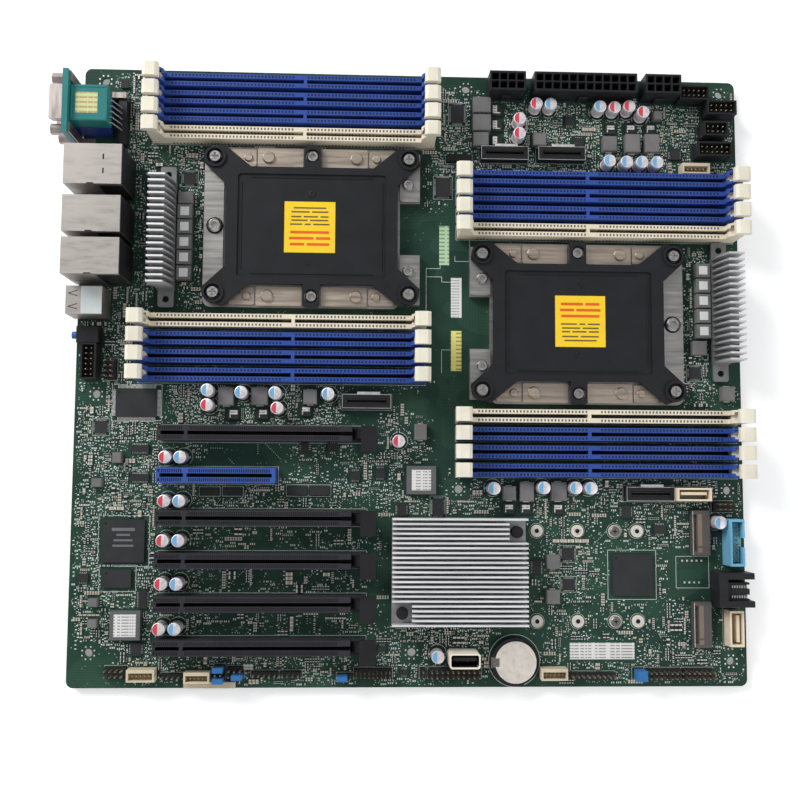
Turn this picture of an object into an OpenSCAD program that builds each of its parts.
// Dual-processor server board, built up from its separate pieces.
// Part positions are given from the board's corner: x from the rear edge (connector side),
// y from the slot-side edge, z from the board's top face. The origin of the finished part is
// the mounting hole nearest that corner, on the board's underside.

/* [Board] */
// Board length from the rear edge to the front edge
board_l = 330.2; // [330:0.1:331]
// Board width along the rear edge
board_w = 304.8; // [304.8:0.1:305.4]
// Board thickness
board_t = 2.0; // [1.8:0.1:2.4]
// Radius of the board's corners
corner_r = 3.4; // [1:0.1:5]
// Diameter of the mounting holes
hole_d = 3.96; // [3.6:0.02:4.2]
// Distance from the rear edge to the rear mounting holes
datum_x = 10.16; // [9.5:0.01:11]
// Distance from the slot-side edge to the datum hole
datum_y = 16.51; // [16:0.01:17]

/* [Processor mounts] */
// Distance between the heatsink studs along the board
stud_dx = 95.5; // [95:0.1:96]
// Distance between the heatsink studs across the board
stud_dy = 67.6; // [67:0.1:68]
// Height of the heatsink studs
stud_h = 9.5; // [8.5:0.1:11]
// Thickness of the back plates under the board
backplate_t = 2.2; // [2:0.1:2.6]

/* [Memory sockets] */
// Distance between neighbouring memory sockets
dimm_pitch = 8.85; // [8.8:0.01:9]
// Length of a memory socket's body
dimm_l = 140.4; // [140:0.1:141]
// Width of a memory socket's body
dimm_w = 6.4; // [6.2:0.1:6.8]
// Height of the long middle part of a memory socket
dimm_h = 8.8; // [8:0.1:10]
// Height of the end towers
tower_h = 17.6; // [17:0.1:18]
// Radius of the latch trunnions
trunnion_r = 1.2; // [1.1:0.05:1.3]

/* [Card slots] */
// Distance between neighbouring card slots
slot_pitch = 20.32; // [20.3:0.01:20.4]
// Height of the card slots
slot_h = 11.2; // [11:0.1:11.6]
// Width of the card slots
slot_w = 7.4; // [7:0.1:7.8]

/* [Rear connectors] */
// Height of the stacked network jacks
jack_h = 27.0; // [26.6:0.1:27.8]
// Depth of the stacked network jacks
jack_l = 27.0; // [26:0.1:28]

/* [Coolers] */
// Height of the two fin coolers beside the processors
fin_cooler_h = 22; // [20:0.5:24]
// Height of the square cooler's fin tops
chipset_h = 14; // [12:0.5:16]

/* [Small parts] */
// Diameter of the can capacitors
cap_d = 6.3; // [6:0.1:6.6]
// Height of the can capacitors
cap_h = 9; // [8:0.5:10]
// Diameter of the coin cell
cell_d = 20; // [19.8:0.1:20]

/* [Hidden] */
$fn = 40;
eps = 0.01;
under_z = -board_t - backplate_t; // level that the board stands on
post_r = 0.9;                     // plastic locating posts that pass through the board
post_gap = 0.1;                   // clearance round a post

// Mounting holes
hole_at = [[datum_x, datum_y], [datum_x, 140.97], [datum_x, 298.45], [165.1, 16.51],
  [188, 95.5], [191.5, 298.45], [322.3, 12], [322.3, 95.5], [322.3, 298.45]];

// Processor positions: the front one is turned half round
cpu_at = [[114.6, 224.4, 0], [246.5, 177.8, 180]];
backplate_l = 102;
backplate_w = 76;
socket_l = 78;
socket_w = 56.6;
seat_l = 71;
seat_w = 50.6;
seat_floor = 1.8;
socket_h = 5.2;
bolster_l = 107;
bolster_w = 80.4;
bolster_t = 3.6;
ear_t = 5.2;                      // top of the raised bars and ears of the bolster
bar_x = -48.4;
ear_x = 48.4;
ear_y = 24.8;
ear_screw_y = 21.8;
mid_screw_y = 35.1;
cover_z = 6.3;                    // underside of the cover over the processor seat
cover_top = 8.3;
cover_arm = [[28.6, 28], [43.6, 40.2], [47, 39], [53, 33.5], [53.2, 31], [42, 20.5]];
screw_r = 3.4;

// Memory banks: centre x, centre y, 1 or -1 for the end that the key is nearer to,
// and the place of the white socket counted from the top
bank_a = [105.0, 283.6, 1, 3];
bank_b = [100.6, 163.6, 1, 0];
bank_c = [257.2, 237.2, -1, 3];
bank_d = [257.0, 118.2, -1, 0];
banks = [bank_a, bank_b, bank_c, bank_d];
key_x = 5.6;
tower_l = 10;
pivot_x = 67.2;
pivot_z = 4.6;
latch_w = 4;                      // latch arm, between the tower's cheeks
head_w = 6.8;                     // latch head, above the cheeks
bore_gap = 0.07;                  // running clearance of the trunnions

// Card slots
slot_x = 42.4;
slot_y0 = 20.4;                   // the slot nearest the edge
long_slots = [0, 1, 2, 3, 5];
short_slot = 4;
long_l = 89;
short_l = 56.5;
slot_tail = 16;                   // length of the latch mount after a long slot
slot_pivot_x = long_l + 7.6;
slot_pivot_z = 4;

// Rear edge
lan_at = [[247.5, 19.2], [223.8, 17.4], [203.7, 17.4]]; // centre y and width of each
lan_x = -1;
lan_post_x = 17;                  // posts, from the rear edge
lan_post_y = 5.6;
dsub_y = 278.8;
dsub_front_x = -3.2;
serial_l = 20.2;                  // depths of the two stacked connectors, behind their front face
vga_l = 18.2;
flange_w = 30.8;
flange_t = 2.6;
dsub_split = 12.7;                // level where the serial connector sits on the display one
dsub_shell_l = 6.8;               // how far the metal shells stand out
usb_y = 184.7;
id_y = 169.3;
button_r = 1.75;
button_z = 3.9;
button_free = 0.6;                // room behind the button for its travel

// Can capacitors
cap_at = [[226.2, 288.4], [233.4, 288.3], [217.7, 280.6], [217.6, 273], [258.4, 287.6],
  [265.8, 287.3], [273.2, 288], [280.3, 285.2], [262.9, 259.8], [271.6, 259.4], [279.3, 259.4],
  [287, 259.4], [65.3, 142.8], [65.2, 135.6], [81.5, 141.8], [97.9, 141.7], [99, 134.3],
  [123.5, 141.4], [158, 118.7], [45.8, 110.3], [53, 110.3], [45.8, 89.3], [53, 89.3],
  [45.6, 70.5], [53, 70.5], [45.3, 50.1], [52.6, 50.1], [44.8, 29], [52.2, 29], [204.4, 96.1],
  [228.8, 96.5], [244.4, 96.5], [251.9, 96.4], [315.4, 80], [177.3, 15.8]];

// Plain chokes: centre x, y, length, width
choke_at = [[52, 238.6, 7.2, 5.6], [199.3, 289.2, 9, 7.8], [199.3, 280, 9, 8.2],
  [198.8, 271.3, 7.6, 6.9], [228.6, 271.8, 6.6, 6.4], [264.4, 270.3, 7, 7.4],
  [276, 270.7, 7.4, 9.2], [286, 270.9, 7.2, 9.2], [289.2, 285.5, 4.2, 4.2],
  [73.6, 140.2, 7.4, 8.8], [90, 140.4, 8, 8.8], [114.6, 140.2, 6.6, 7.2],
  [168.9, 123.4, 6, 7.8], [212.6, 93.7, 6.4, 7], [221.2, 94.5, 6.8, 9.4],
  [237, 94.7, 7.6, 9.2], [234.1, 60.5, 6.4, 6.8], [233.9, 43.6, 6.4, 6.6],
  [308.4, 166.4, 7, 7], [322.4, 143.6, 6.4, 7.2], [12.4, 40.7, 4.4, 3.8], [12.4, 30.8, 4.2, 3.8],
  [21.9, 110, 4.2, 5.2], [12.6, 97.9, 4.8, 4.2]];
choke_h = 4;
phase_pitch = 7.7;                // chokes beside each fin cooler
phase_count = 5;
phase_rear = [51.7, 216.4];
phase_front = [310.8, 190.3];

// Chips: centre x, y, length, width
large_chip_at = [[25.5, 69.8, 20.4, 20.4], [30, 136.8, 20, 14], [273.7, 54, 20, 20],
  [23, 51.9, 13.6, 8.6]];
small_chip_at = [[20, 296.9, 3.8, 4], [53.2, 249.3, 6, 6], [179.9, 247, 7.4, 9.6],
  [187.1, 285.1, 6.6, 9.6], [244.4, 282.7, 4.6, 4.6], [249.1, 271.7, 5, 4.2],
  [298.5, 265.9, 5, 5], [13.1, 124.8, 6, 6], [32.1, 114.5, 9, 3.4], [32.5, 100.4, 9, 3.4],
  [112.4, 115.5, 3.8, 4.4], [125.8, 115.6, 4.4, 4.4], [66.3, 93.8, 9, 3.4], [77.5, 93.9, 9, 3.4],
  [108.8, 94.5, 9.4, 4.4], [119.7, 94.5, 9.8, 4.4], [137, 101.9, 4.8, 4.4],
  [149.2, 103.2, 4.8, 4.8], [159.9, 85.2, 4.4, 5.8], [177.8, 86.8, 5.6, 8.4],
  [241.8, 64.1, 6, 6], [242.1, 49.3, 6, 5.4], [226.4, 57.5, 4, 7], [271.1, 84.8, 4.6, 6],
  [287.7, 76.2, 6, 4.4], [306.8, 154.1, 6, 6], [6.7, 52.1, 5, 4], [35.5, 41.9, 4, 8.4],
  [32.8, 18.4, 5, 6], [161.5, 7.2, 3.8, 2.6], [150.8, 18.4, 3.8, 2.8], [207.2, 287.5, 5.4, 6],
  [207.2, 279.4, 5.4, 6], [207.2, 271.2, 5.4, 6], [77, 131.6, 5.4, 5], [91.3, 131.8, 5.4, 5],
  [112.3, 133.4, 5.4, 5], [212.5, 86.1, 5.4, 5], [220.8, 86.1, 5.4, 5], [236.8, 86.1, 5.4, 5],
  [265.2, 278.6, 5.4, 5], [275.5, 278.8, 5.4, 5], [285.8, 279, 5.4, 5]];
chip_h = 1.2;
large_chip_h = 1.5;

// Pin headers: centre x, y, pins along x, pins along y; boxed ones have a wall round the pins
pin_pitch = 2.54;
header_at = [[23.6, 7.8, 4, 2], [50.2, 5.8, 4, 1], [94.5, 6.7, 5, 1], [106.9, 6.7, 4, 1],
  [170.5, 7, 1, 2], [186.1, 6.9, 10, 2], [252.9, 5.9, 9, 1], [288, 6.3, 7, 2],
  [305.2, 6.3, 6, 2], [319.4, 87.6, 4, 2], [72.9, 7.2, 2, 3], [80.6, 7.6, 3, 2],
  [133, 5.6, 3, 1], [275.9, 6.5, 2, 2], [17.4, 153.2, 2, 4]];
boxed_header_at = [[8.1, 156.3, 2, 6], [306.5, 295.9, 5, 2], [320.4, 288.5, 5, 2],
  [317.2, 277.5, 4, 2], [316.5, 266.9, 6, 2]];
fine_pitch = 2;                   // the one header with closer pins
fine_header = [146.5, 7, 9, 2];
header_h = 2.5;
pin_top = 8.4;

// Jumper caps: centre x, y, pins spanned along x, pins spanned along y
jumper_at = [[72.9, 9.74, 2, 1], [72.9, 4.66, 2, 1], [81.87, 6.33, 2, 1], [131.73, 5.6, 2, 1],
  [275.9, 6.5, 2, 2]];
jumper_h = 6.4;
jumper_gap = 0.15;

// Wafer connectors: centre x, y, length along x, width along y
wafer_at = [[36.4, 6.9, 13.2, 5.8], [62.8, 5.9, 12.2, 5.2], [233.8, 7, 12.8, 5.6],
  [307.4, 257.4, 14, 5.4]];
wafer_h = 6.6;
// Low shelf in front of the second one: corner x, y and size
wafer_lip = [56.2, 0.4, 24.4, 2.9, 3];

module rounded_rect(l, w, r) {
  translate([r, 0]) square([l - 2 * r, w]);
  translate([0, r]) square([l, w - 2 * r]);
  for (x = [r, l - r]) for (y = [r, w - r]) translate([x, y]) circle(r);
}

module rounded_plate(l, w, t, r) {
  translate([-l / 2, -w / 2, 0]) linear_extrude(t) rounded_rect(l, w, r);
}

module block(l, w, h) {
  translate([-l / 2, -w / 2, 0]) cube([l, w, h]);
}

// Moves what is placed from the board's corner into the part's own frame
module on_board() {
  translate([-datum_x, -datum_y, board_t]) children();
}

module at_cpu(n) {
  translate([cpu_at[n][0], cpu_at[n][1], 0]) rotate(cpu_at[n][2]) children();
}

// Turns a profile drawn in x and z into a slab of width w, centred on y
module slab(w) {
  translate([0, w / 2, 0]) rotate([90, 0, 0]) linear_extrude(w) children();
}

// ---- Board ----

// Where locating posts pass through the board
function slot_post_at(n) = [for (x = [4, long_l - 6]) [slot_x + x, slot_y0 + n * slot_pitch]];
post_at = concat(
  [for (n = long_slots) each slot_post_at(n)],
  [for (x = [4, short_l - 6]) [slot_x + x, slot_y0 + short_slot * slot_pitch]],
  [for (p = lan_at) for (s = [-1, 1]) [lan_post_x, p[0] + s * lan_post_y]],
  [for (x = [229.6, 271]) [x, 298.2]],
  [for (x = [211.2, 289.4]) for (s = [-1, 1]) [x + s * 6.3, 298.2]]);

module pcb() {
  color("#24483a") on_board() translate([0, 0, -board_t]) difference() {
    linear_extrude(board_t) rounded_rect(board_l, board_w, corner_r);
    for (p = hole_at) translate([p[0], p[1], -1]) cylinder(d = hole_d, h = board_t + 2);
    for (p = post_at) translate([p[0], p[1], -1]) cylinder(r = post_r + post_gap, h = board_t + 2, $fn = 24);
  }
}

module post(x, y) {
  translate([x, y, under_z]) cylinder(r = post_r, h = -under_z + 0.4, $fn = 24);
}

// ---- Processor mounts ----

module cpu_backplates() {
  color("#8b8d90") on_board() for (n = [0, 1]) at_cpu(n) translate([0, 0, under_z]) difference() {
    rounded_plate(backplate_l, backplate_w, backplate_t, 5);
    translate([0, 0, -1]) rounded_plate(40, 26, backplate_t + 2, 3);
  }
}

module cpu_sockets() {
  color("#d9d2bd") on_board() for (n = [0, 1]) at_cpu(n) difference() {
    rounded_plate(socket_l, socket_w, socket_h, 2);
    translate([0, 0, seat_floor]) block(seat_l, seat_w, socket_h);
    translate([0, 0, seat_floor - 1]) block(18, 12, socket_h);
  }
}

module cpu_bolster() {
  difference() {
    union() {
      translate([-5, 0, 0]) rounded_plate(bolster_l - 10, bolster_w, bolster_t, 4);
      translate([bar_x, 0, 0]) linear_extrude(ear_t)
        polygon([[-4.8, -30.6], [4.8, -22], [4.8, 22], [-4.8, 30.6]]);
      for (s = [-1, 1]) {
        translate([ear_x - 0.7, s * 25.6, 0]) block(11.6, 25.2, bolster_t);
        translate([ear_x, s * 22, 0]) rounded_plate(10, 17, ear_t, 1.5);
      }
      for (s = [-1, 1]) translate([0, s * mid_screw_y, 0]) rounded_plate(8.4, 9.4, ear_t, 1.5);
    }
    translate([0, 0, -1]) rounded_plate(socket_l + 1, socket_w + 1, 9, 2.5);
  }
}

module cpu_bolsters() {
  color("#b9b8b6") on_board() for (n = [0, 1]) at_cpu(n) cpu_bolster();
}

// Leaf springs along both long sides, with their rivets
module cpu_spring_clips() {
  color("#c9b79b") on_board() for (n = [0, 1]) at_cpu(n) for (sy = [-1, 1]) for (sx = [-1, 1]) {
    translate([sx * 16, sy * 34.8, bolster_t]) {
      rounded_plate(22.6, 9.6, 1.4, 1);
      translate([sx * 5.8, 0, 1.4]) cylinder(r1 = 3.2, r2 = 2.6, h = 1.2);
    }
    translate([sx * 34.2, sy * 34.8, bolster_t]) {
      rounded_plate(12.4, 8.6, 1, 1);
      translate([-sx * 2.4, 0, 1]) cylinder(r1 = 2.2, r2 = 1.7, h = 1);
    }
  }
}

// Flat-headed screw with a six-lobed drive recess
module drive_screw(r, h) {
  difference() {
    union() {
      cylinder(r = r, h = h * 0.55);
      translate([0, 0, h * 0.55]) cylinder(r1 = r, r2 = r * 0.78, h = h * 0.45);
    }
    translate([0, 0, h * 0.4]) for (k = [0:2]) rotate(k * 60) block(r * 0.95, r * 0.34, h);
  }
}

module cpu_hold_down_screws() {
  color("#d4d2cd") on_board() for (n = [0, 1]) at_cpu(n) translate([0, 0, ear_t]) {
    translate([bar_x + 0.6, 0, 0]) drive_screw(screw_r, 1.8);
    for (s = [-1, 1]) {
      translate([ear_x - 0.9, s * ear_screw_y, 0]) drive_screw(2.8, 1.8);
      translate([0, s * mid_screw_y, 0]) drive_screw(3.1, 2.2);
    }
  }
}

module cpu_heatsink_studs() {
  color("#cfcfcd") on_board() for (n = [0, 1]) at_cpu(n)
    for (x = [-1, 1]) for (y = [-1, 1]) translate([x * stud_dx / 2, y * stud_dy / 2, bolster_t]) {
      cylinder(r = 3.7, h = 1.4, $fn = 6);
      difference() {
        cylinder(r = 2.6, h = stud_h - bolster_t);
        translate([0, 0, stud_h - bolster_t - 1]) for (a = [0, 90]) rotate(a) block(3.4, 0.8, 2);
      }
    }
}

// Black cover with a sunken middle panel and four arms that clip round the studs
module cpu_cover(n) {
  color("#232427") on_board() at_cpu(n) difference() {
    union() {
      translate([0, 0, cover_z]) rounded_plate(84.6, 58.4, cover_top - cover_z, 3);
      for (s = [-1, 1]) translate([0, s * 32, cover_z]) rounded_plate(8.2, 17, cover_top - cover_z, 1.5);
      for (x = [-1, 1]) for (y = [-1, 1]) {
        translate([0, 0, cover_z]) linear_extrude(cover_top - cover_z)
          polygon([for (q = cover_arm) [x * q[0], y * q[1]]]);
        translate([x * stud_dx / 2, y * stud_dy / 2, cover_z]) cylinder(r = 5.2, h = cover_top - cover_z + 1);
      }
    }
    translate([0, 0, cover_top - 0.8]) rounded_plate(73, 51.4, 2, 1.5);
    for (x = [-1, 1]) for (y = [-1, 1]) translate([x * stud_dx / 2, y * stud_dy / 2, 0]) {
      cylinder(r = 3, h = 30);
      translate([0, 0, cover_z + 1.2]) cylinder(r = 4.1, h = 30);
    }
    for (s = [-1, 1]) translate([0, s * mid_screw_y, 0]) cylinder(r = 3.4, h = 30);
    for (s = [-1, 1]) translate([ear_x - 0.9, s * ear_screw_y, 0]) cylinder(r = 3.3, h = 30);
  }
}

module cpu_cover_rear() { cpu_cover(0); }
module cpu_cover_front() { cpu_cover(1); }

// ---- Memory sockets ----

module socket_profile() {
  hl = dimm_l / 2;
  polygon([[-hl, 0], [hl, 0], [hl, tower_h - 1.6], [hl - 1.6, tower_h], [hl - 4.4, tower_h],
    [hl - 6.9, tower_h - 4.6], [hl - 6.9, dimm_h], [-hl + 6.9, dimm_h], [-hl + 6.9, tower_h - 4.6],
    [-hl + 4.4, tower_h], [-hl + 1.6, tower_h], [-hl, tower_h - 1.6]]);
}

module dimm_socket(key) {
  difference() {
    slab(dimm_w) socket_profile();
    // groove for the module, stopped at the key
    translate([-66.8, -0.95, 1.6]) cube([66.8 + key * key_x - 0.8, 1.9, 30]);
    translate([key * key_x + 0.8, -0.95, 1.6]) cube([66.8 - key * key_x - 0.8, 1.9, 30]);
    for (s = [-1, 1]) {
      // space for the latch between the cheeks
      translate([s * 67.6, 0, 1]) block(7, latch_w + 0.4, 30);
      // bores of the cheeks
      translate([s * pivot_x, -6, pivot_z]) rotate([-90, 0, 0])
        cylinder(r = trunnion_r + bore_gap, h = 12, $fn = 32);
    }
  }
}

function socket_y(bank, n) = bank[1] + (1.5 - n) * dimm_pitch;

module sockets(white) {
  on_board() for (bank = banks) for (n = [0:3])
    if ((n == bank[3]) == white) translate([bank[0], socket_y(bank, n), 0]) dimm_socket(bank[2]);
}

module dimm_sockets_blue() { color("#27409c") sockets(false); }
module dimm_sockets_white() { color("#e9e2d2") sockets(true); }

// Ejector latch for the +x end, standing closed
module dimm_latch() {
  slab(latch_w) polygon([[65.2, 2.4], [68.2, 1.8], [70.2, 4.6], [70.4, tower_h + 0.4],
    [66.6, tower_h + 0.4], [66.2, 12.5], [64.6, 11.5], [64.6, 8.4], [65.6, 7]]);
  slab(head_w) polygon([[64.5, tower_h + 0.4], [72.2, tower_h + 0.4], [72.2, 20.6], [70.6, 21.8],
    [66, 21.8], [64.5, 20.6]]);
  translate([pivot_x, -3, pivot_z]) rotate([-90, 0, 0]) cylinder(r = trunnion_r, h = 6, $fn = 32);
}

// The four latches at one end of a bank, which turn about one line
module latch_group(bank, front) {
  color("#f1ead9") on_board() for (n = [0:3])
    translate([bank[0], socket_y(bank, n), 0]) rotate(front ? 0 : 180) dimm_latch();
}

module dimm_latches_a_rear() { latch_group(bank_a, false); }
module dimm_latches_a_front() { latch_group(bank_a, true); }
module dimm_latches_b_rear() { latch_group(bank_b, false); }
module dimm_latches_b_front() { latch_group(bank_b, true); }
module dimm_latches_c_rear() { latch_group(bank_c, false); }
module dimm_latches_c_front() { latch_group(bank_c, true); }
module dimm_latches_d_rear() { latch_group(bank_d, false); }
module dimm_latches_d_front() { latch_group(bank_d, true); }

// ---- Card slots ----

module card_slot(l, key) {
  difference() {
    block_from_end(l, slot_w, slot_h);
    translate([1.6, -0.9, 3]) cube([key - 2.4, 1.8, 20]);
    translate([key + 0.8, -0.9, 3]) cube([l - key - 2.4, 1.8, 20]);
  }
  for (x = [4, l - 6]) post(x, 0);
}

module block_from_end(l, w, h) {
  translate([0, -w / 2, 0]) cube([l, w, h]);
}

// Latch mount at the end of a long slot: two cheeks with a bore
module latch_mount() {
  translate([long_l, 0, 0]) difference() {
    union() {
      block_from_end(slot_tail - 5, slot_w, 6.4);
      block_from_end(4, slot_w, slot_h);
    }
    translate([-1, -1, 3]) cube([6, 2, 20]);
    translate([4.4, -2.5, 1]) cube([20, 5, 20]);
    translate([slot_pivot_x - long_l, -10, slot_pivot_z]) rotate([-90, 0, 0])
      cylinder(r = trunnion_r + bore_gap, h = 20, $fn = 32);
  }
}

module at_slot(n) {
  translate([slot_x, slot_y0 + n * slot_pitch, 0]) children();
}

module pcie_slots_black() {
  color("#1f2023") on_board() for (n = long_slots) at_slot(n) {
    difference() {
      card_slot(long_l, 13.6);
      translate([long_l - 2, -0.9, 3]) cube([4, 1.8, 20]);
    }
    latch_mount();
  }
}

module pcie_slot_blue() {
  color("#2b4db0") on_board() at_slot(short_slot) card_slot(short_l, 13.6);
}

// Card retention lever with a wide paddle
module pcie_latch(n) {
  color("#26272b") on_board() at_slot(n) {
    slab(4.6) polygon([[long_l + 5.4, 2], [long_l + 9, 1.6], [long_l + 9.6, 8], [long_l + 14.8, 9.6],
      [long_l + 14.8, 11.4], [long_l + 8.2, 11.4], [long_l + 5, 7]]);
    translate([long_l + 8.4, -8.4, 10]) cube([7.4, 12.2, 1.8]);
    translate([slot_pivot_x, -3.5, slot_pivot_z]) rotate([-90, 0, 0])
      cylinder(r = trunnion_r, h = 7, $fn = 32);
  }
}

module pcie_latch_1() { pcie_latch(long_slots[0]); }
module pcie_latch_2() { pcie_latch(long_slots[1]); }
module pcie_latch_3() { pcie_latch(long_slots[2]); }
module pcie_latch_4() { pcie_latch(long_slots[3]); }
module pcie_latch_5() { pcie_latch(long_slots[4]); }

// ---- Coolers ----

fin_count = 18;
fin_pitch = 3.05;
fin_t = 0.9;
cooler_w = 8.4;
cooler_hole_y = 31.2;

// Row of tall fins on a plate with a screw tab at each end
module fin_cooler() {
  difference() {
    union() {
      translate([0, 0, 1.4]) rounded_plate(7.8, 2 * cooler_hole_y + 8, 1.6, 1.2);
      translate([0, 0, 1.4]) block(cooler_w, 53.4, 2.6);
      for (k = [0:fin_count - 1]) translate([0, (k - (fin_count - 1) / 2) * fin_pitch, 1.4])
        slab(fin_t) polygon([[-cooler_w / 2, 0], [cooler_w / 2, 0], [cooler_w / 2, 10],
          [cooler_w / 2 - 2.1, fin_cooler_h - 1.4], [-cooler_w / 2 - 1.7, fin_cooler_h - 1.4],
          [-cooler_w / 2 - 1.7, 11], [-cooler_w / 2, 8]]);
    }
    for (s = [-1, 1]) translate([0, s * cooler_hole_y, 0]) cylinder(r = 1.6, h = 9);
  }
  // pad between the cooler and the power stages
  block(7, 48, 1.4);
}

module vrm_heatsink_rear() { color("#c3c5c6") on_board() translate([43.2, 219, 0]) fin_cooler(); }
module vrm_heatsink_front() {
  color("#c3c5c6") on_board() translate([319.2, 184.9, 0]) rotate(180) fin_cooler();
}

chipset_at = [187.6, 56.3];
chipset_l = 65;
chipset_w = 51;
chipset_fins = 23;
chipset_base = 5.6;               // top of the plate that carries the fins
chipset_pin = [[28, 18.8], [-27.4, -20]];
// Fins stop short round the pins: near corner x, y and size
chipset_recess = [[23.4, 14, 12, 10.4], [-35.4, -24.4, 12.4, 9.8]];

module chipset_heatsink() {
  fin_step = (chipset_w - fin_t) / (chipset_fins - 1);
  color("#c9cacb") on_board() translate([chipset_at[0], chipset_at[1], 0]) {
    difference() {
      union() {
        translate([0, 0, 3]) block(chipset_l, chipset_w, chipset_base - 3);
        for (k = [0:chipset_fins - 1])
          translate([0, k * fin_step - (chipset_w - fin_t) / 2, 3])
            block(chipset_l, fin_t, chipset_h - 3);
      }
      for (r = chipset_recess) translate([r[0], r[1], chipset_base]) cube([r[2], r[3], 20]);
      for (p = chipset_pin) translate([p[0], p[1], 0]) cylinder(r = 2.1, h = 20);
    }
    // chip package under the cooler
    block(30, 26, 3);
  }
}

module heatsink_push_pins() {
  color("#1d1e20") on_board() translate([chipset_at[0], chipset_at[1], 0]) for (p = chipset_pin)
    translate([p[0], p[1], 0]) {
      cylinder(r = 1.9, h = chipset_base);
      translate([0, 0, chipset_base]) cylinder(r = 2.9, h = 1.6);
      translate([0, 0, 7.2]) cylinder(r = 2.2, h = 1.4);
      translate([0, 0, 8.6]) cylinder(r = 2.8, h = 1);
    }
}

// ---- Rear connectors ----

// Network socket over two flat sockets, all open to the rear
module lan_jack(w) {
  difference() {
    block_from_end(jack_l, w, jack_h);
    translate([-1, -6, 16.4]) cube([14, 12, 8.4]);
    translate([-1, -2.6, 15]) cube([9, 5.2, 4]);
    for (z = [1.6, 8.6]) translate([-1, -6.6, z]) cube([11, 13.2, 5.2]);
  }
}

module lan_jacks() {
  color("#c4bfb7") on_board() for (p = lan_at) {
    translate([lan_x, p[0], 0]) lan_jack(p[1]);
    for (s = [-1, 1]) post(lan_post_x, p[0] + s * lan_post_y);
  }
}

module serial_port() {
  color("#1f8a86") on_board() translate([dsub_front_x, dsub_y, 0]) {
    translate([0, -flange_w / 2, dsub_split]) cube([flange_t, flange_w, 12.7]);
    translate([0, -8.8, dsub_split]) cube([serial_l, 17.6, 9.4]);
  }
}

// D-shaped outline of a connector shell: narrower at the bottom
module d_outline(w, h) {
  slant = h * 0.18;
  polygon([[-w / 2, h / 2], [w / 2, h / 2], [w / 2 - slant, -h / 2], [-w / 2 + slant, -h / 2]]);
}

module d_shell(w, h, depth) {
  rotate([90, 0, -90]) linear_extrude(depth) difference() {
    d_outline(w, h);
    d_outline(w - 0.9, h - 0.9);
  }
}

module vga_port() {
  color("#25348c") on_board() translate([dsub_front_x, dsub_y, 0]) {
    translate([0, -flange_w / 2, 0]) cube([flange_t, flange_w, dsub_split - 0.1]);
    translate([0, -9.2, 0]) cube([vga_l, 18.4, dsub_split - 0.1]);
    // strip behind the body that holds the leads in line
    translate([21.8, -14.2, 0]) cube([3.8, 22.6, 6]);
  }
}

// Metal shells, jack screws and side brackets of the stacked connectors
module d_sub_bracket() {
  color("#b8b2a6") on_board() translate([dsub_front_x, dsub_y, 0]) {
    translate([0, 0, 19]) d_shell(16.9, 8.3, dsub_shell_l);
    translate([0, 0, 6.3]) d_shell(16.9, 8.3, dsub_shell_l);
    for (z = [6.3, 19]) for (s = [-1, 1]) translate([0, s * 12.5, z]) rotate([0, -90, 0]) {
      difference() {
        cylinder(r = 2.7, h = dsub_shell_l - 0.4, $fn = 6);
        translate([0, 0, 0.8]) cylinder(r = 1.4, h = 6, $fn = 24);
      }
    }
    for (s = [-1, 1]) {
      translate([flange_t, s * 12.6 - 2.4, 0]) cube([0.8, 4.8, 23.4]);
      translate([flange_t + 0.8, s * 12.6 - 2.4, 0]) cube([6, 4.8, 0.8]);
    }
    // clip at the end of the lead strip
    translate([18.4, 8.5, 0]) cube([7.2, 2.8, 7.4]);
  }
}

module usb_stack() {
  color("#c9ccd0") on_board() translate([-1.4, usb_y, 0]) difference() {
    translate([0, -6.8, 0]) cube([17.2, 13.6, 15.6]);
    for (z = [1.6, 8.8]) translate([-1, -6.2, z]) cube([12, 12.4, 5.2]);
  }
}

module usb_upright_port() {
  color("#cfcbc1") on_board() translate([189.8, 14.8, 0]) difference() {
    rounded_plate(14.6, 7.2, 14, 1.4);
    translate([0, 0, 4]) rounded_plate(13.2, 5.6, 14, 1);
  }
}

module id_button_case() {
  color("#202124") on_board() translate([1.8, id_y, 0]) difference() {
    block_from_end(10.4, 7.9, 7.6);
    translate([-1, 0, button_z]) rotate([0, 90, 0]) cylinder(r = button_r + 0.07, h = 6);
  }
}

module id_button() {
  color("#3d6fc4") on_board() translate([-1, id_y, button_z]) rotate([0, 90, 0])
    cylinder(r = button_r, h = 7.8 - button_free);
}

// ---- Board connectors ----

module cell_grid(nx, ny, l, w, h, floor_z) {
  cell = 3.5;
  difference() {
    block(l, w, h);
    for (i = [0:nx - 1]) for (j = [0:ny - 1])
      translate([(i - (nx - 1) / 2) * 4.2, (j - (ny - 1) / 2) * 4.2, floor_z]) block(cell, cell, h);
  }
}

module atx_power_socket() {
  color("#17181a") on_board() {
    translate([250.3, 298.2, 0]) cell_grid(12, 2, 51.6, 9.8, 13, 3);
    for (x = [229.6, 271]) post(x, 298.2);
  }
}

module cpu_power_sockets() {
  color("#17181a") on_board() for (x = [211.2, 289.4]) {
    translate([x, 298.2, 0]) cell_grid(4, 2, 18, 9.8, 13, 3);
    for (s = [-1, 1]) post(x + s * 6.3, 298.2);
  }
}

// Shroud with a long opening and a tongue in it
module tongue_port(l, w, h, tongue) {
  difference() {
    block(l, w, h);
    translate([0, 0, 1.5]) block(l - 2.2, w - 1.8, h);
  }
  translate([0, (w - 1.8) / 2 - tongue / 2 - 1.1, 1.4]) block(l - 4.4, tongue, h - 2.4);
}

module sata_ports() {
  color("#e8d9b4") on_board() {
    translate([303, 93.6, 0]) tongue_port(17.2, 6.4, 8, 1.4);
    translate([322.7, 28.8, 0]) rotate(-90) tongue_port(17.2, 7, 8, 1.4);
  }
}

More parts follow.
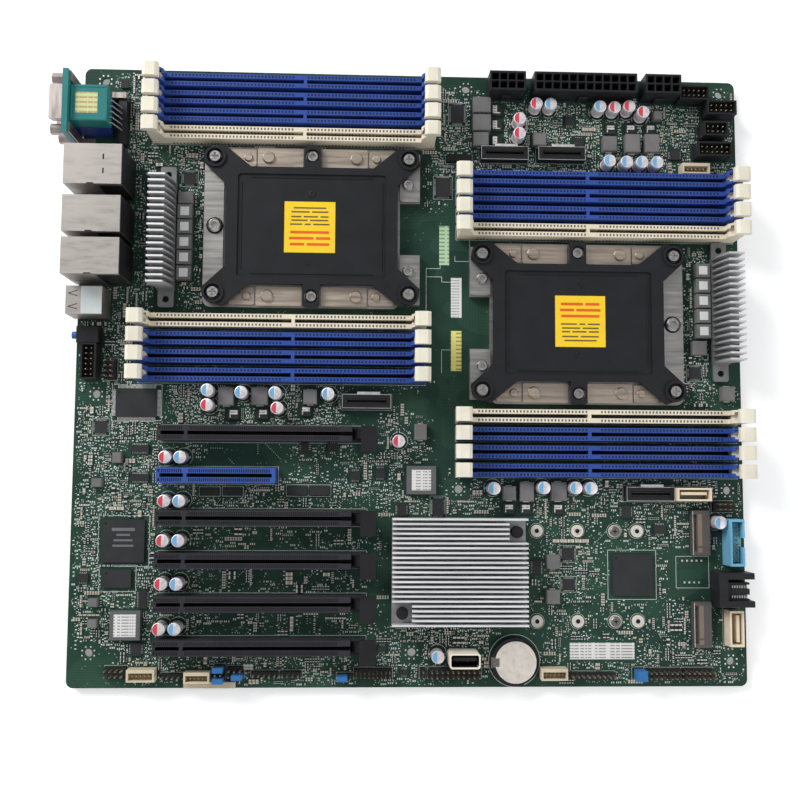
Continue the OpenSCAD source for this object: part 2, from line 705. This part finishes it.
// Drive cable port that faces the front edge: a middle block with two contact slots between
// the arms that guide and latch the plug
module sata_stack() {
  color("#232428") on_board() translate([312.8, 47.8, 0]) difference() {
    union() {
      block_from_end(4.4, 16.4, 12);
      for (s = [-1, 1]) translate([4, s * 6.7 - 1.5, 0]) cube([13.4, 3, 12]);
      translate([4, -5.4, 0]) cube([12, 8.8, 9]);
    }
    for (y = [-4.4, 0.4]) translate([7, y, 4]) cube([10, 2, 12]);
  }
}

module slim_sas_ports() {
  color("#1c1c1f") on_board() {
    for (p = [[210.7, 264.1], [239.6, 264.4], [142.3, 138.2], [282.2, 93.7]])
      translate([p[0], p[1], 0]) difference() {
        block(23.8, 6.8, 5);
        translate([0, 0, 1.2]) block(19, 1.6, 10);
      }
    translate([188, 261.8, 0]) block(12.4, 3.6, 3);
  }
}

module usb3_header() {
  color("#7db7d8") on_board() translate([322.7, 70.4, 0]) difference() {
    block(7, 22.6, 11);
    translate([0, 0, 2]) block(5.2, 20.2, 20);
    translate([4, 0, 6]) block(8, 4.6, 20);
  }
}

module m2_slots() {
  color("#242326") on_board() for (y = [74.7, 30.2]) translate([307.3, y, 0]) difference() {
    block(8.6, 22, 4.2);
    // the upper jaw stops short of the lower one
    translate([-6, -10, 1.4]) cube([7, 20, 1.2]);
    translate([-6, -9, 2.4]) cube([3.8, 18, 3]);
  }
}

module m2_standoffs() {
  color("#c9a656") on_board() for (y = [75.3, 31.5]) for (x = [226.4, 246.5, 265, 276.2])
    translate([x, y, 0]) difference() {
      cylinder(r = 3, h = 1.2);
      translate([0, 0, 0.4]) cylinder(r = 1.1, h = 5, $fn = 24);
    }
}

module capacitors() {
  color("#dfe3e6") on_board() for (p = cap_at) translate([p[0], p[1], 0]) {
    block(6.4, 6.4, 0.8);
    translate([0, 0, 0.8]) cylinder(d = cap_d, h = cap_h - 0.8);
  }
}

module power_chokes() {
  color("#86858a") on_board() {
    for (p = choke_at) translate([p[0], p[1], 0]) block(p[2], p[3], choke_h);
    for (row = [phase_rear, phase_front]) for (k = [0:phase_count - 1])
      translate([row[0], row[1] + (k - (phase_count - 1) / 2) * phase_pitch, 0])
        block(7.2, 7, choke_h);
  }
}

module large_chips() {
  color("#26282a") on_board() for (p = large_chip_at) translate([p[0], p[1], 0])
    block(p[2], p[3], large_chip_h);
}

module small_chips() {
  color("#2b2d2f") on_board() for (p = small_chip_at) translate([p[0], p[1], 0])
    block(p[2], p[3], chip_h);
}

module flash_sockets() {
  color("#2a2b2d") on_board() for (p = [[169.4, 99.9], [27.8, 29.9]]) translate([p[0], p[1], 0]) {
    difference() {
      block(14.4, 13.8, 3.2);
      translate([0, 0, 1]) block(9, 8, 5);
    }
    translate([0, 0, 1]) block(8.6, 7.6, 1.8);
  }
}

module pins(nx, ny, top, pitch = pin_pitch, side = 0.64) {
  for (i = [0:nx - 1]) for (j = [0:ny - 1])
    translate([(i - (nx - 1) / 2) * pitch, (j - (ny - 1) / 2) * pitch, header_h - 0.4])
      block(side, side, top - header_h + 0.4);
}

module pin_headers() {
  color("#1b1b1d") on_board() {
    for (p = header_at) translate([p[0], p[1], 0]) {
      block(p[2] * pin_pitch, p[3] * pin_pitch, header_h);
      pins(p[2], p[3], pin_top);
    }
    for (p = boxed_header_at) translate([p[0], p[1], 0]) {
      difference() {
        block(p[2] * pin_pitch + 2.4, p[3] * pin_pitch + 2.2, 8.8);
        translate([0, 0, header_h]) block(p[2] * pin_pitch + 0.6, p[3] * pin_pitch + 0.6, 20);
      }
      pins(p[2], p[3], 8);
    }
    translate([fine_header[0], fine_header[1], 0]) {
      block(fine_header[2] * fine_pitch, fine_header[3] * fine_pitch + 0.4, header_h);
      pins(fine_header[2], fine_header[3], pin_top, fine_pitch, 0.5);
    }
  }
}

module jumper_cap(k) {
  p = jumper_at[k];
  l = p[2] * pin_pitch - 0.1;
  w = p[3] * pin_pitch - 0.1;
  color("#1e78d8") on_board() translate([p[0], p[1], header_h + 0.1]) difference() {
    block(l, w, jumper_h);
    for (i = [0:p[2] - 1]) for (j = [0:p[3] - 1])
      translate([(i - (p[2] - 1) / 2) * pin_pitch, (j - (p[3] - 1) / 2) * pin_pitch, -1])
        block(0.64 + 2 * jumper_gap, 0.64 + 2 * jumper_gap, jumper_h + 0.4);
  }
}

module jumper_cap_1() { jumper_cap(0); }
module jumper_cap_2() { jumper_cap(1); }
module jumper_cap_3() { jumper_cap(2); }
module jumper_cap_4() { jumper_cap(3); }
module jumper_cap_5() { jumper_cap(4); }

module wafer_connectors() {
  color("#efe0b6") on_board() {
    for (p = wafer_at) translate([p[0], p[1], 0]) difference() {
      block(p[2], p[3], wafer_h);
      translate([0, -0.4, 1.6]) block(p[2] - 1.8, p[3] - 2.4, 20);
    }
    translate([wafer_lip[0], wafer_lip[1], 0]) cube([wafer_lip[2], wafer_lip[3], wafer_lip[4]]);
  }
}

cell_at = [215.2, 12.6];
cell_t = 3.2;
cell_z = 2.05;                    // the cell lies on the holder's floor

module battery_holder() {
  color("#1d1d1f") on_board() translate([cell_at[0], cell_at[1], 0]) difference() {
    cylinder(d = cell_d + 3, h = 4.8);
    translate([0, 0, 2]) cylinder(d = cell_d + 0.6, h = 10);
    translate([0, 0, -1]) cylinder(d = cell_d - 6, h = 10);
    translate([4, -20, 2.4]) cube([20, 40, 10]);
  }
}

module battery() {
  color("#d5c9c4") on_board() translate([cell_at[0], cell_at[1], cell_z]) {
    cylinder(d = cell_d - 3, h = cell_t);
    translate([0, 0, 0.6]) cylinder(d = cell_d, h = cell_t - 0.6);
  }
}

pcb();
cpu_backplates();
cpu_sockets();
cpu_bolsters();
cpu_spring_clips();
cpu_hold_down_screws();
cpu_heatsink_studs();
cpu_cover_rear();
cpu_cover_front();
dimm_sockets_blue();
dimm_sockets_white();
dimm_latches_a_rear();
dimm_latches_a_front();
dimm_latches_b_rear();
dimm_latches_b_front();
dimm_latches_c_rear();
dimm_latches_c_front();
dimm_latches_d_rear();
dimm_latches_d_front();
pcie_slots_black();
pcie_slot_blue();
pcie_latch_1();
pcie_latch_2();
pcie_latch_3();
pcie_latch_4();
pcie_latch_5();
vrm_heatsink_rear();
vrm_heatsink_front();
chipset_heatsink();
heatsink_push_pins();
lan_jacks();
serial_port();
vga_port();
d_sub_bracket();
usb_stack();
usb_upright_port();
usb3_header();
atx_power_socket();
cpu_power_sockets();
sata_ports();
sata_stack();
slim_sas_ports();
m2_slots();
m2_standoffs();
capacitors();
power_chokes();
large_chips();
small_chips();
flash_sockets();
pin_headers();
wafer_connectors();
battery_holder();
battery();
id_button_case();
id_button();
jumper_cap_1();
jumper_cap_2();
jumper_cap_3();
jumper_cap_4();
jumper_cap_5();
